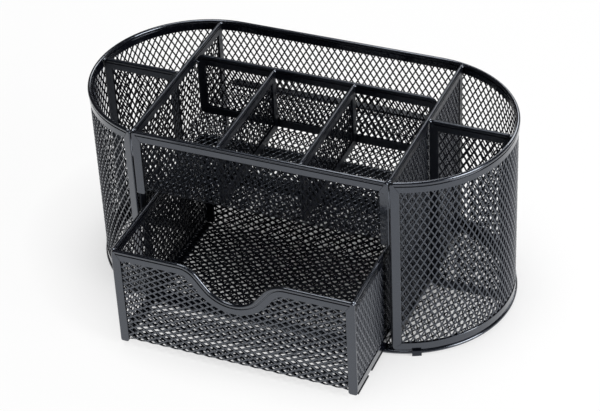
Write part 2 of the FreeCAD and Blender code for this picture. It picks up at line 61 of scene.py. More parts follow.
# %% [markdown]
# ## The camera
#
# A product picture like this is taken from about a metre away with a long lens, so the far
# edges shrink only a little.  A camera could be placed by typing in its place and its three
# turns, but then every change of view means finding all six numbers again.  Here it circles a
# target inside the stand: an angle round it, an angle above the desk, a distance and a small
# roll, and each of them can be changed alone.

# %% Camera
TARGET = Vector((-3.0, 17.8, 35.9)) * MM
CAMERA_AROUND = math.radians(24.0)
CAMERA_ABOVE = math.radians(36.3)
CAMERA_ROLL = math.radians(-3.0)
CAMERA_DISTANCE = 1074.0 * MM
LENS = 127.08                 # in mm, for a picture that is 36 mm wide
CLIP_START = 50 * MM


def view_axes(around, above, roll):
    """Right, up and back of a camera that looks at its target from those angles."""
    back = Vector((math.sin(around) * math.cos(above), -math.cos(around) * math.cos(above),
                   math.sin(above)))
    right = (-back).cross(Vector((0, 0, 1))).normalized()
    up = back.cross(right)
    return (right * math.cos(roll) + up * math.sin(roll),
            up * math.cos(roll) - right * math.sin(roll), back)


right, up, back = view_axes(CAMERA_AROUND, CAMERA_ABOVE, CAMERA_ROLL)
camera_data = bpy.data.cameras.new("product_camera")
camera_data.lens = LENS
camera_data.clip_start = CLIP_START
camera = bpy.data.objects.new("product_camera", camera_data)
camera.matrix_world = (Matrix.Translation(TARGET + back * CAMERA_DISTANCE)
                       @ Matrix((right, up, back)).transposed().to_4x4())
bpy.context.scene.collection.objects.link(camera)
bpy.context.scene.camera = camera
print("camera at", [round(c, 4) for c in camera.matrix_world.translation])

# %% [markdown]
# ## One diamond, many times
#
# Mesh could be a plain plate with a picture of holes on it.  But a picture has no thickness:
# seen from the side its strands vanish, and it casts a flat shadow.  So the strands here are
# real.  A sheet of diamonds is nothing but a square grid that has been turned by 45 degrees
# and squeezed in one direction.  Each sheet starts as a plain grid, is turned and squeezed,
# and is then trimmed to its panel with straight cuts.

# %% Cell size and the flat sheet
CELL_LONG = 6.06 * MM
CELL_SHORT = 3.5 * MM
EDGE_IN_STRIP = 2.8 * MM      # the raw edge sits this far inside the nose of its binding
PLAIN_STRIP = 4.6 * MM        # width of a plain binding


def edit(piece, mode="FACE"):
    """Go into edit mode on one piece, with nothing selected."""
    bpy.ops.object.select_all(action="DESELECT")
    piece.select_set(True)
    bpy.context.view_layer.objects.active = piece
    bpy.ops.object.mode_set(mode="EDIT")
    bpy.ops.mesh.select_mode(type=mode)
    bpy.ops.mesh.select_all(action="DESELECT")


def cut(piece, at, outward, clear=True):
    """Cut the whole sheet along a line, and drop what lies outward of it."""
    edit(piece)
    bpy.ops.mesh.select_all(action="SELECT")
    bpy.ops.mesh.bisect(plane_co=(*at, 0), plane_no=(*outward, 0), clear_outer=clear)
    bpy.ops.object.mode_set(mode="OBJECT")


def delete_faces(piece, unwanted):
    """Delete the faces whose middle, as (x, y), the test says is unwanted."""
    edit(piece)
    bpy.ops.object.mode_set(mode="OBJECT")
    for face in piece.data.polygons:
        face.select = unwanted(face.center.x, face.center.y)
    bpy.ops.object.mode_set(mode="EDIT")
    bpy.ops.mesh.delete(type="FACE")
    bpy.ops.object.mode_set(mode="OBJECT")


def diamonds(name, width, height, long_way):
    """Flat sheet of closed diamonds, from (0, 0) to (width, height) in the XY plane."""
    pitch = (CELL_LONG, CELL_SHORT) if long_way == "X" else (CELL_SHORT, CELL_LONG)
    count = math.ceil(width / pitch[0] + height / pitch[1]) + 1
    bpy.ops.mesh.primitive_grid_add(x_subdivisions=count, y_subdivisions=count, size=count)
    piece = bpy.context.object
    piece.name = piece.data.name = name
    squeeze = Matrix.Diagonal((pitch[0] / math.sqrt(2), pitch[1] / math.sqrt(2), 1, 1))
    middle = Matrix.Translation((width / 2, height / 2, 0))
    piece.data.transform(middle @ squeeze @ Matrix.Rotation(math.radians(45), 4, "Z"))
    for at, outward in (((0, 0), (-1, 0)), ((0, 0), (0, -1)),
                        ((width, height), (1, 0)), ((width, height), (0, 1))):
        cut(piece, at, outward)
    piece["pitch"] = pitch
    piece["size"] = (width, height)
    return piece


print("a cell is", round(CELL_SHORT / MM, 2), "by", round(CELL_LONG / MM, 2), "mm")

# %% [markdown]
# ## From paper lattice to steel
#
# A Wireframe modifier could turn the edges of the lattice into strands, but they would be
# square bars, all alike.  Instead every face is inset on its own, and deleting what is left in
# the middle opens the diamonds and leaves flat strands between them, as wide as we like.
#
# Expanding a real sheet also twists each strand, so that the mesh isn't flat: the strands lean
# like the slats of a blind.  From one side such a sheet looks nearly closed, and from the
# other it looks open.  Here one edge of each strand moves out and the other edge moves in, by
# their distance from the strand's own middle line.  A Solidify modifier then gives the strands
# their thickness, and smooth shading rounds them, as the paint does on the real mesh.

# %% Opening the diamonds
STRAND_WIDTH = 0.6 * MM
BROAD_STRAND = 0.81 * MM      # the drawer is made of a heavier mesh
STRAND_THICKNESS = 0.5 * MM


def open_up(piece, twist, strand=STRAND_WIDTH):
    """Open the diamonds and tilt the strands by that many degrees."""
    edit(piece)
    bpy.ops.mesh.select_all(action="SELECT")
    bpy.ops.mesh.inset(thickness=strand / 2, use_individual=True, use_even_offset=True)
    bpy.ops.mesh.delete(type="FACE")
    bpy.ops.object.mode_set(mode="OBJECT")

    pitch, size = piece["pitch"], piece["size"]
    short = 0 if pitch[0] < pitch[1] else 1
    places = np.empty(len(piece.data.vertices) * 3)
    piece.data.vertices.foreach_get("co", places)
    places = places.reshape(-1, 3)
    rows = (places[:, short] - size[short] / 2) / (pitch[short] / 2)
    off_line = (rows - np.round(rows)) * pitch[short] / 2
    off_line = np.clip(off_line, -strand, strand)
    places[:, 2] += off_line * math.tan(math.radians(twist))
    piece.data.vertices.foreach_set("co", places.ravel())


def thicken(piece):
    """Give the strands their thickness."""
    steel = piece.modifiers.new("thickness", "SOLIDIFY")
    steel.thickness = STRAND_THICKNESS
    steel.offset = 0
    bpy.context.view_layer.objects.active = piece
    bpy.ops.object.modifier_apply(modifier=steel.name)
    bpy.ops.object.shade_smooth()


sheets = []


def put_in_place(piece, place, body, node):
    """Put a finished sheet where it belongs, on its body and in place of its plain plate."""
    piece.data.transform(place)
    bpy.context.view_layer.update()
    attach(piece, body)
    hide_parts(node)
    sheets.append(piece)
    triangles = sum(len(face.vertices) - 2 for face in piece.data.polygons)
    print(piece.name, triangles, "triangles")


print("strands", round(STRAND_WIDTH / MM, 2), "mm wide, the drawer's", round(BROAD_STRAND / MM, 2))

# %% [markdown]
# ## Flat panels
#
# The dividers, the cross panels and the drawer's sides are flat, and their diamonds stand
# upright.  Each could be placed by hand, but the construction already knows where they are:
# its plates are thin along one axis, and that axis tells which way a panel faces.  So one loop
# reads each plate's box, makes a sheet of that size and stands it up there.
#
# Nobody checks which way round a sheet goes into its strips.  Two of the panels are turned
# round, so that their strands lean the other way.

# %% Flat panels
FLAT_PANELS = {
    "stand": ["left_cross_panel", "right_cross_panel", "rear_divider", "left_small_divider",
              "right_small_divider", "left_end_divider", "right_end_divider"],
    "drawer": ["drawer_left_side", "drawer_right_side"],
}
PANEL_TWIST = -34
TURNED_PANELS = ("right_cross_panel", "drawer_right_side")
SOFT_CORNER = 4.5 * MM        # radius of the upper corners of the rear divider's binding
UPRIGHT_X = Matrix(((1, 0, 0), (0, 0, -1), (0, 1, 0))).to_4x4()   # sheet x to X, sheet y to Z
UPRIGHT_Y = Matrix(((0, 0, 1), (1, 0, 0), (0, 1, 0))).to_4x4()    # sheet x to Y, sheet y to Z


def cut_top_corners(piece, radius):
    """Trim both upper corners at 45 degrees, inside a corner of that radius."""
    width, height = piece["size"]
    reach = radius * (1 - math.sqrt(0.5))
    cut(piece, (reach, height - reach), (-1, 1))
    cut(piece, (width - reach, height - reach), (1, 1))


for body, names in FLAT_PANELS.items():
    for name in names:
        low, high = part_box(name + "_mesh")
        middle, span = (low + high) / 2, high - low
        faces_x = span.x < span.y
        width = span.y if faces_x else span.x
        panel = diamonds(name + "_diamonds", width, span.z, "Y")
        if name == "rear_divider":
            cut_top_corners(panel, SOFT_CORNER - EDGE_IN_STRIP)
        twist = -PANEL_TWIST if name in TURNED_PANELS else PANEL_TWIST
        open_up(panel, twist, BROAD_STRAND if body == "drawer" else STRAND_WIDTH)
        thicken(panel)
        corner = Vector((middle.x, low.y, low.z)) if faces_x else Vector((low.x, middle.y, low.z))
        turn = UPRIGHT_Y if faces_x else UPRIGHT_X
        put_in_place(panel, Matrix.Translation(corner) @ turn, body, name + "_mesh")

# %% [markdown]
# ## The outer wall
#
# One long sheet runs from the left front post round the left end, along the back and round
# the right end.  Its diamonds could be placed one by one round the curve, but it is simpler to
# do what the factory does: make the sheet flat, and bend it.  A Curve modifier bends it along
# the wall's path seen from above, and keeps every diamond's size.  The path is drawn like a
# walk: straight on, then a turn of a given radius and angle, and so on.  A sheet that is folded
# later on can be bent by the same means.

# %% A path as a walk
WALK_STEP = math.radians(2)


def walk(start, heading, legs):
    """Points of a path made of straight legs (length,) and turns (radius, angle)."""
    x, y = start
    points = [(x, y)]
    for leg in legs:
        radius, angle = leg if len(leg) == 2 else (None, 0)
        steps = max(1, math.ceil(abs(angle) / WALK_STEP))
        half = angle / steps / 2
        stride = 2 * radius * math.sin(abs(half)) if radius else leg[0]
        for _ in range(steps):
            x += stride * math.cos(heading + half)
            y += stride * math.sin(heading + half)
            heading += 2 * half
            points.append((x, y))
    return points


def walk_length(points):
    """Length of a path, along its points."""
    return sum(math.dist(a, b) for a, b in zip(points, points[1:]))


quarter_turn = walk((0, 0), 0, [(10 * MM, math.pi / 2)])
print("a quarter turn of 10 mm radius has", len(quarter_turn), "points and is",
      round(walk_length(quarter_turn) / MM, 2), "mm long")

# %% Bending a sheet along a path
def bend(piece, points):
    """Stand a flat sheet up and bend it along a path in the XY plane."""
    piece.data.transform(Matrix.Rotation(math.radians(90), 4, "X"))
    track = bpy.data.curves.new("track", "CURVE")
    track.dimensions = "2D"
    spline = track.splines.new("POLY")
    spline.points.add(len(points) - 1)
    for point, (x, y) in zip(spline.points, points):
        point.co = (x, y, 0, 1)
    guide = bpy.data.objects.new("track", track)
    bpy.context.scene.collection.objects.link(guide)
    follow = piece.modifiers.new("follow", "CURVE")
    follow.object = guide
    bpy.context.view_layer.objects.active = piece
    bpy.ops.object.modifier_apply(modifier=follow.name)
    bpy.data.objects.remove(guide)
    bpy.data.curves.remove(track)

# %% [markdown]
# The wall's own sizes come from the construction.  The box of the wall's plate gives its
# radius and the length of its straight back, because its ends are round.  Only how far the
# curve runs on to the front has to be said, and the straight stretch from there to the post.

# %% The outer wall
WALL_TWIST = 30
WALL_ARC_END = math.radians(70)      # the ends curve this far round to the front
POST_TANGENT = 7.0 * MM              # straight stretch from there to a post's nose

wall_low, wall_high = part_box("wall_mesh")
rim_low, rim_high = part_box("base_rim")
plate_low, plate_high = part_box("base_mesh")
half_plate = (plate_high.z - plate_low.z) / 2
stand_y = (rim_low.y + rim_high.y) / 2
end_radius = wall_high.y - half_plate - stand_y
end_x = wall_high.x - half_plate - end_radius
heading = math.pi / 2 + WALL_ARC_END
lead = POST_TANGENT - EDGE_IN_STRIP
wall_start = (-end_x - end_radius * math.cos(WALL_ARC_END) - lead * math.cos(heading),
              stand_y - end_radius * math.sin(WALL_ARC_END) - lead * math.sin(heading))
wall_turn = (end_radius, -math.pi / 2 - WALL_ARC_END)
wall_walk = walk(wall_start, heading, [(lead,), wall_turn, (2 * end_x,), wall_turn, (lead,)])
wall = diamonds("wall_diamonds", walk_length(wall_walk), wall_high.z - wall_low.z, "Y")
open_up(wall, WALL_TWIST)
thicken(wall)
bend(wall, wall_walk)
put_in_place(wall, Matrix.Translation((0, 0, wall_low.z)), "stand", "wall_mesh")
print("wall sheet", round(walk_length(wall_walk) / MM), "mm long, radius", round(end_radius / MM, 1))

# %% [markdown]
# ## The base
#
# The base is a flat sheet with two straight sides and two half-round ends.  A Boolean with an
# oval block could trim it, but Booleans need closed shapes, and this sheet is still open.  So
# the ends are trimmed with a fan of straight cuts, which is close enough, because the rim
# hides the raw edge.  The diamonds are longest from front to back.

# %% The base
FAN_CUTS = 13
BASE_TWIST = 25

base_size = plate_high - plate_low
base_radius = base_size.y / 2
base = diamonds("base_diamonds", base_size.x, base_size.y, "Y")
for side, centre_x in ((1, base_size.x - base_radius), (-1, base_radius)):
    for k in range(FAN_CUTS):
        angle = math.pi * ((k + 0.5) / FAN_CUTS - 0.5)
        outward = (side * math.cos(angle), math.sin(angle))
        at = (centre_x + base_radius * outward[0], base_radius + base_radius * outward[1])
        cut(base, at, outward)
open_up(base, BASE_TWIST)
thicken(base)
put_in_place(base, Matrix.Translation((plate_low.x, plate_low.y, plate_low.z + half_plate)),
             "stand", "base_mesh")

# %% [markdown]
# ## The tray and the drawer body
#
# Both are folded from one sheet: the tray is a floor and a front, and the drawer's body is a
# front, a floor and a back.  Separate flat sheets would be easier, but their strands would not
# meet at the folds.  So each is made flat and bent like the wall, this time along its path seen
# from the side.  Cuts across the opened sheet let the strands bend where the fold is.  The
# upright parts are narrower than the floor, so that they end inside their strips, and the
# folds are narrower again, so that they clear the feet of those strips.

# %% Cutting a sheet for its folds
FOLD_CUTS = 5
FIT_GAP = 0.2 * MM
QUARTER = math.pi / 2
SIDEWAYS = Matrix(((0, 0, 1), (1, 0, 0), (0, 1, 0))).to_4x4()   # path x, y, width to Y, Z, X


def crease(piece, start, length):
    """Cut the sheet across a fold, so that it can bend there."""
    for k in range(FOLD_CUTS + 1):
        cut(piece, (start + length * k / FOLD_CUTS, 0), (1, 0), clear=False)


def narrow(piece, start, end, margin):
    """Take that much off both sides of the sheet, on one stretch of its length."""
    width = piece["size"][1]
    cut(piece, (0, margin), (0, -1), clear=False)
    cut(piece, (0, width - margin), (0, 1), clear=False)
    delete_faces(piece, lambda x, y: start < x < end and not margin < y < width - margin)


# %% The tray
TRAY_TWIST = 34
TRAY_BEND = 2.85 * MM          # radius of the fold's middle line

tray_low, tray_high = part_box("tray_sheet")
tray_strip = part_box("tray_front_binding")[1].x
tray_front = tray_low.y + half_plate
tray_floor = tray_low.z + half_plate
floor_leg = tray_high.y - tray_front - TRAY_BEND
front_leg = tray_high.z - tray_floor - TRAY_BEND
fold_leg = TRAY_BEND * QUARTER
tray_walk = walk((tray_high.y, tray_floor), math.pi,
                 [(floor_leg,), (TRAY_BEND, -QUARTER), (front_leg,)])
tray_length = walk_length(tray_walk)
tray = diamonds("tray_diamonds", tray_length, tray_high.x - tray_low.x, "X")
open_up(tray, TRAY_TWIST)
crease(tray, floor_leg, fold_leg)
narrow(tray, floor_leg, tray_length, tray_high.x - tray_strip + EDGE_IN_STRIP)
narrow(tray, floor_leg, floor_leg + fold_leg, tray_high.x - tray_strip + PLAIN_STRIP + FIT_GAP)
thicken(tray)
bend(tray, tray_walk)
put_in_place(tray, Matrix.Translation((tray_low.x, 0, 0)) @ SIDEWAYS, "stand", "tray_sheet")

# %% [markdown]
# The drawer's front has a finger dip in its top edge.  Its outline is a shoulder arc, a short
# slope, a bottom arc and the same again.  Cutting the sheet along it would take a cut for
# every small piece of the curve.  Instead, the strands above that line are pulled down onto it,
# and the slivers that this leaves are dissolved.  The line lies inside the binding, which hides
# what was done.

# %% The finger dip
DIP_DEPTH = 17.3 * MM
DIP_SLOPE = math.radians(52)
DIP_SHOULDER = 12.6 * MM
DIP_BOTTOM = 16.0 * MM
SLIVER = 0.05 * MM

slope_drop = DIP_DEPTH - (DIP_SHOULDER + DIP_BOTTOM) * (1 - math.cos(DIP_SLOPE))
dip_half = (DIP_SHOULDER + DIP_BOTTOM) * math.sin(DIP_SLOPE) + slope_drop / math.tan(DIP_SLOPE)


def dip_line(across, inset):
    """Depth of a line below the top strip's nose, drawn inset from the nose of the dip."""
    across = abs(across)
    shoulder, bottom = DIP_SHOULDER - inset, DIP_BOTTOM + inset
    low_x, low_y = bottom * math.sin(DIP_SLOPE), bottom * math.cos(DIP_SLOPE)
    if across > dip_half:
        return inset
    if across > dip_half - shoulder * math.sin(DIP_SLOPE):
        return DIP_SHOULDER - math.sqrt(shoulder ** 2 - (dip_half - across) ** 2)
    if across < low_x:
        return DIP_DEPTH - DIP_BOTTOM + math.sqrt(bottom ** 2 - across ** 2)
    return DIP_DEPTH - DIP_BOTTOM + low_y - (across - low_x) * math.tan(DIP_SLOPE)


def follow_dip(piece):
    """Pull the strands above the dip's line down onto it."""
    middle = piece["size"][1] / 2
    for vertex in piece.data.vertices:
        line = dip_line(vertex.co.y - middle, EDGE_IN_STRIP) - EDGE_IN_STRIP
        if vertex.co.x < line:
            vertex.co.x = line
    edit(piece, "VERT")
    bpy.ops.mesh.select_all(action="SELECT")
    bpy.ops.mesh.dissolve_degenerate(threshold=SLIVER)
    bpy.ops.object.mode_set(mode="OBJECT")


print("the dip is", round(2 * dip_half / MM, 1), "mm wide over its shoulders")

# %% The drawer's body
DRAWER_TWIST = -11
DRAWER_BEND = 2.35 * MM

drawer_low, drawer_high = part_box("drawer_sheet")
drawer_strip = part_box("drawer_front_binding")[1].x
front_plane = drawer_low.y + half_plate
drawer_floor = drawer_low.z + half_plate
upright_leg = drawer_high.z - drawer_floor - DRAWER_BEND
floor_leg = drawer_high.y - half_plate - front_plane - 2 * DRAWER_BEND
fold_leg = DRAWER_BEND * QUARTER
second_fold = upright_leg + fold_leg + floor_leg
drawer_walk = walk((front_plane, drawer_high.z), -QUARTER,
                   [(upright_leg,), (DRAWER_BEND, QUARTER), (floor_leg,), (DRAWER_BEND, QUARTER),
                    (upright_leg,)])
drawer_length = walk_length(drawer_walk)
drawer = diamonds("drawer_diamonds", drawer_length, drawer_high.x - drawer_low.x, "Y")
open_up(drawer, DRAWER_TWIST, BROAD_STRAND)
for fold in (upright_leg, second_fold):
    crease(drawer, fold, fold_leg)
    narrow(drawer, fold, fold + fold_leg,
           drawer_high.x - drawer_strip + PLAIN_STRIP + FIT_GAP)
strip_margin = drawer_high.x - drawer_strip + EDGE_IN_STRIP
narrow(drawer, 0, upright_leg, strip_margin)
narrow(drawer, second_fold + fold_leg, drawer_length, strip_margin)
follow_dip(drawer)
thicken(drawer)
bend(drawer, drawer_walk)
put_in_place(drawer, Matrix.Translation((drawer_low.x, 0, 0)) @ SIDEWAYS, "drawer", "drawer_sheet")

# %% [markdown]
# ## Weld nuggets
#
# Where two bindings meet, a spot of weld holds them.  It is a small lump that ran, cooled and
# was painted over, so no two are alike.  Lumps can be sculpted by hand or remeshed from
# overlapping balls, but those have thousands of faces each.  Here each starts as a ball, is
# flattened a little, has its points pushed about at random, and is smoothed again by a
# Subdivision Surface modifier.  A fixed seed gives it the same shape every time.

# %% One lump of weld
NUGGET = Vector((1.35, 1.35, 0.9)) * MM      # half its size each way
SEAM_WELD = Vector((0.6, 0.6, 6)) * MM        # the same, of an upright seam
LUMPS = 0.22 * MM                             # how far its points are pushed


def lump(place, half_size, seed):
    """One lump of weld metal."""
    bpy.ops.mesh.primitive_ico_sphere_add(subdivisions=2, radius=1)
    piece = bpy.context.object
    piece.data.transform(Matrix.Translation(place) @ Matrix.Diagonal((*half_size, 1)))
    edit(piece, "VERT")
    bpy.ops.mesh.select_all(action="SELECT")
    bpy.ops.transform.vertex_random(offset=LUMPS, seed=seed, wait_for_input=False)
    bpy.ops.object.mode_set(mode="OBJECT")
    smooth = piece.modifiers.new("smooth", "SUBSURF")
    smooth.levels = smooth.render_levels = 1
    bpy.ops.object.modifier_apply(modifier=smooth.name)
    bpy.ops.object.shade_smooth()
    return piece

# %% [markdown]
# The nuggets sit at both ends of the bindings that stop at another one, a little below the top
# and a little inside the bead's nose.  The rear divider has round upper corners, so its
# nuggets sit where those corners begin.  Two seams hold the tray's front to the posts.  The
# lumps of one body are joined into one piece, in place of the plain balls and rods.

# %% Weld nuggets
NUGGET_DROP = 1.0 * MM        # a nugget's middle lies this far below the top
SINK = 0.3 * MM               # and this far behind the nose of the bead
SEAM_DROP = 10 * MM           # a seam's middle lies this far below the top of the tray's front
SEAM_BESIDE = 0.1 * MM        # this far beside its binding
SEAM_BEHIND = 0.8 * MM        # and this far behind the nose of its bead


def weld_up(name, lumps, body, node):
    """Join a body's lumps into one piece."""
    bpy.ops.object.select_all(action="DESELECT")
    for piece in lumps:
        piece.select_set(True)
    bpy.context.view_layer.objects.active = lumps[0]
    bpy.ops.object.join()
    piece = lumps[0]
    piece.name = piece.data.name = name
    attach(piece, body)
    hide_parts(node)
    print(name, len(lumps), "lumps,", len(piece.data.polygons), "faces")
    return piece


def ends(node, along):
    """The two ends of a binding along one axis, a little inside its noses, at its top."""
    low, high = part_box(node)
    points = []
    for end, inward in ((low, 1), (high, -1)):
        point = (low + high) / 2
        point[along] = end[along] + inward * SINK
        point.z = high.z - NUGGET_DROP
        points.append(point)
    return points


weld_places = []
for side in ("left", "right"):
    weld_places += ends(side + "_cross_panel_binding", 1)
    weld_places += ends(side + "_small_divider_binding", 1)
    weld_places += ends(side + "_end_divider_binding", 0)
corner_drop = Vector((0, 0, SOFT_CORNER - NUGGET_DROP))
weld_places += [point - corner_drop for point in ends("rear_divider_binding", 0)]
stand_lumps = [lump(point, NUGGET, seed) for seed, point in enumerate(weld_places)]

front_low, front_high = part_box("tray_front_binding")
for seed, x in enumerate((front_low.x - SEAM_BESIDE, front_high.x + SEAM_BESIDE)):
    seam = Vector((x, front_low.y + SEAM_BEHIND, front_high.z - SEAM_DROP))
    stand_lumps.append(lump(seam, SEAM_WELD, seed))
stand_welds = weld_up("stand_weld_nuggets", stand_lumps, "stand", "stand_welds")

drawer_places = []
for side in ("left", "right"):
    drawer_places += ends("drawer_" + side + "_side_binding", 1)
drawer_welds = weld_up("drawer_weld_nuggets",
                       [lump(point, NUGGET, seed) for seed, point in enumerate(drawer_places)],
                       "drawer", "drawer_welds")

# %% [markdown]
# ## Paint
#
# The paint is a thick, semi-gloss black, baked on.  Close up it has the fine dimples of
# orange peel, with a few specks of dust caught in it, and it lies thinner on some strips than
# on others.  A picture of paint could show this, but it would need every strand unwrapped, and
# it would blur close up.  Noise that is read at the piece's own coordinates needs neither.
# Both effects are node groups, so that every material uses the same ones with its own values.

# %% Helpers for node trees
def new_group(name, inputs, outputs):
    """An empty node group with number sockets; inputs are (name, default)."""
    group = bpy.data.node_groups.new(name, "ShaderNodeTree")
    for label, value in inputs:
        socket = group.interface.new_socket(label, in_out="INPUT", socket_type="NodeSocketFloat")
        socket.default_value = value
    for label in outputs:
        group.interface.new_socket(label, in_out="OUTPUT", socket_type="NodeSocketFloat")
    return group, group.nodes.new("NodeGroupInput"), group.nodes.new("NodeGroupOutput")


def math_node(tree, operation, first, second):
    """A Math node; each of its inputs is a socket or a number."""
    node = tree.nodes.new("ShaderNodeMath")
    node.operation = operation
    for socket, value in zip(node.inputs, (first, second)):
        if isinstance(value, bpy.types.NodeSocket):
            tree.links.new(value, socket)
        else:
            socket.default_value = value
    return node.outputs[0]


def noise(tree, scale, detail):
    """Noise on object coordinates, from 0 to 1; its scale is in lumps per metre."""
    place = tree.nodes.new("ShaderNodeTexCoord")
    node = tree.nodes.new("ShaderNodeTexNoise")
    node.inputs["Detail"].default_value = detail
    tree.links.new(place.outputs["Object"], node.inputs["Vector"])
    if isinstance(scale, bpy.types.NodeSocket):
        tree.links.new(scale, node.inputs["Scale"])
    else:
        node.inputs["Scale"].default_value = scale
    return node.outputs["Fac"]


# %% Orange peel and coverage
SPECK_FROM = 0.68             # only the peaks of the noise above this become specks
SPECK_EDGE = 8                # how steeply a speck rises


def orange_peel():
    """Fine dimples, with a few raised specks."""
    group, given, result = new_group(
        "orange_peel", [("Dimples per metre", 700), ("Specks per metre", 420), ("Speck height", 1.5)],
        ["Height", "Specks"])
    dimples = noise(group, given.outputs["Dimples per metre"], detail=2)
    crumbs = noise(group, given.outputs["Specks per metre"], detail=1)
    above = math_node(group, "SUBTRACT", crumbs, SPECK_FROM)
    specks = math_node(group, "MAXIMUM", math_node(group, "MULTIPLY", above, SPECK_EDGE), 0)
    raised = math_node(group, "MULTIPLY", specks, given.outputs["Speck height"])
    group.links.new(math_node(group, "ADD", dimples, raised), result.inputs["Height"])
    group.links.new(math_node(group, "MINIMUM", specks, 1), result.inputs["Specks"])
    return group


def paint_coverage():
    """How thick the paint lies, as a number around a middle value, in wide soft patches."""
    group, given, result = new_group(
        "paint_coverage", [("Middle", 0.3), ("Spread", 0.1), ("Patches per metre", 55)], ["Value"])
    patches = noise(group, given.outputs["Patches per metre"], detail=3)
    centred = math_node(group, "SUBTRACT", patches, 0.5)
    swing = math_node(group, "MULTIPLY", centred, given.outputs["Spread"])
    group.links.new(math_node(group, "ADD", swing, given.outputs["Middle"]), result.inputs["Value"])
    return group


PEEL, COVERAGE = orange_peel(), paint_coverage()
print("node groups:", PEEL.name, COVERAGE.name)

# %% [markdown]
# Black paint has hardly any colour of its own.  What the eye sees of it is almost only the
# reflection of the room, so the gloss matters more than the colour.  How much a surface
# reflects is set by its index of refraction, and a thin clear coat adds the sharp highlights
# along the beads.  The reflection is tinted a little, because this paint looks cool.

# %% Painted steel
INK = (0.002, 0.0024, 0.0045, 1)      # the pigment, a black that leans to blue
DUSTY = (0.026, 0.028, 0.036, 1)      # a speck of dust under the paint
COOL_SHEEN = (0.74, 0.83, 1, 1)
COAT_ROUGHNESS = 0.07
PEEL_DEPTH = 0.1 * MM


def place_group(tree, group, **values):
    """Put a group into a material, with its own values by name."""
    node = tree.nodes.new("ShaderNodeGroup")
    node.node_tree = group
    for label, value in values.items():
        node.inputs[label.replace("_", " ")].default_value = value
    return node


def painted_steel(name, gloss, coat, roughness, spread, relief, specks):
    """Black paint on steel: how glossy, how rough and uneven, how deep its dimples, how dusty."""
    material = bpy.data.materials.new(name)
    material.use_nodes = True
    tree = material.node_tree
    shader = tree.nodes["Principled BSDF"]
    shader.inputs["IOR"].default_value = gloss
    shader.inputs["Specular Tint"].default_value = COOL_SHEEN
    shader.inputs["Coat Weight"].default_value = coat
    shader.inputs["Coat Roughness"].default_value = COAT_ROUGHNESS

    peel = place_group(tree, PEEL)
    colour = tree.nodes.new("ShaderNodeMix")
    colour.data_type = "RGBA"
    colour.inputs["A"].default_value = INK
    colour.inputs["B"].default_value = DUSTY
    tree.links.new(math_node(tree, "MULTIPLY", peel.outputs["Specks"], specks),
                   colour.inputs["Factor"])
    tree.links.new(colour.outputs["Result"], shader.inputs["Base Color"])

    cover = place_group(tree, COVERAGE, Middle=roughness, Spread=spread)
    tree.links.new(cover.outputs["Value"], shader.inputs["Roughness"])

    bump = tree.nodes.new("ShaderNodeBump")
    bump.inputs["Strength"].default_value = relief
    bump.inputs["Distance"].default_value = PEEL_DEPTH
    tree.links.new(peel.outputs["Height"], bump.inputs["Height"])
    tree.links.new(bump.outputs["Normal"], shader.inputs["Normal"])
    return material


# The outer paints are a lit copy that reflects more, which is painted light, and the inner ones a
# shaded copy that reflects less, which is painted shade for the dark inside of the stand.
outer_lit_strip = painted_steel("outer_lit_strip_paint", gloss=1.74, coat=0.6,
                            roughness=0.19, spread=0.18, relief=0.4, specks=0.8)
inner_shaded_strip = painted_steel("inner_shaded_strip_paint", gloss=1.52, coat=0.1,
                            roughness=0.34, spread=0.24, relief=0.4, specks=0.5)
outer_lit_mesh = painted_steel("outer_lit_mesh_paint", gloss=1.8, coat=0.4,
                           roughness=0.2, spread=0.16, relief=0.3, specks=0.6)
inner_shaded_mesh = painted_steel("inner_shaded_mesh_paint", gloss=1.28, coat=0.01,
                           roughness=0.26, spread=0.2, relief=0.3, specks=0.2)
weld_paint = painted_steel("weld_paint", gloss=2.1, coat=0.8,
                           roughness=0.14, spread=0.2, relief=0.9, specks=1.0)
clip_paint = painted_steel("clip_paint", gloss=1.5, coat=0.1,
                           roughness=0.36, spread=0.25, relief=0.6, specks=0.9)
print("paints:", [material.name for material in bpy.data.materials])

# %% [markdown]
# Here the one black paint comes as two copies.  The outside, the top of the tray's floor and the
# faces that the lamps reach take a glossier copy that reflects more, which is painted light, and
# the panels inside and the inner faces of the sheets take a duller one that reflects less, which
# is painted shade for the dark inside.  One material could tell inside from outside by itself,
# with its normal and its place, but two plain materials are easier to read and to change.  A
# bent sheet has both sides, so it takes both paints, and a short test on each face's place and
# normal picks which.

# %% Painting
OUTER_LIT_STRIPS = ("wall_top_rim", "wall_bottom_rim", "left_front_post", "right_front_post",
                "base_rim", "tray_front_binding", "drawer_front_binding",
                "drawer_left_side_binding", "drawer_right_side_binding")
SMALL_PARTS = ("base_clips", "drawer_hems")
FLAT_LIT_AND_SHADED_SHEETS = ("drawer_left_side_diamonds", "drawer_right_side_diamonds",
               "right_cross_panel_diamonds")


def paint(piece, *materials):
    """Give a piece these materials and no others."""
    piece.data.materials.clear()
    for material in materials:
        piece.data.materials.append(material)


def paint_lit_and_shaded(piece, is_outer):
    """Lit paint on the faces that the test picks by place and normal, shaded paint on the rest."""
    paint(piece, outer_lit_mesh, inner_shaded_mesh)
    for face in piece.data.polygons:
        face.material_index = 0 if is_outer(face.center, face.normal) else 1


def wall_outside(place, normal):
    """Whether a face of the wall points away from the stand's middle line."""
    middle_x = max(-end_x, min(end_x, place.x))
    return normal.x * (place.x - middle_x) + normal.y * (place.y - stand_y) > 0


def drawer_outside(place, normal):
    """Whether a face is on the front of the drawer's front."""
    return place.y < front_plane + DRAWER_BEND and normal.y < 0


def side_outside(place, normal):
    """Whether a face of a side panel points away from the middle."""
    return place.x * normal.x > 0


def tray_top(place, normal):
    """Whether a face is on top of the tray's floor, which takes the lit paint, painted light from
    above.
    """
    return place.z < tray_floor + TRAY_BEND and normal.z > 0
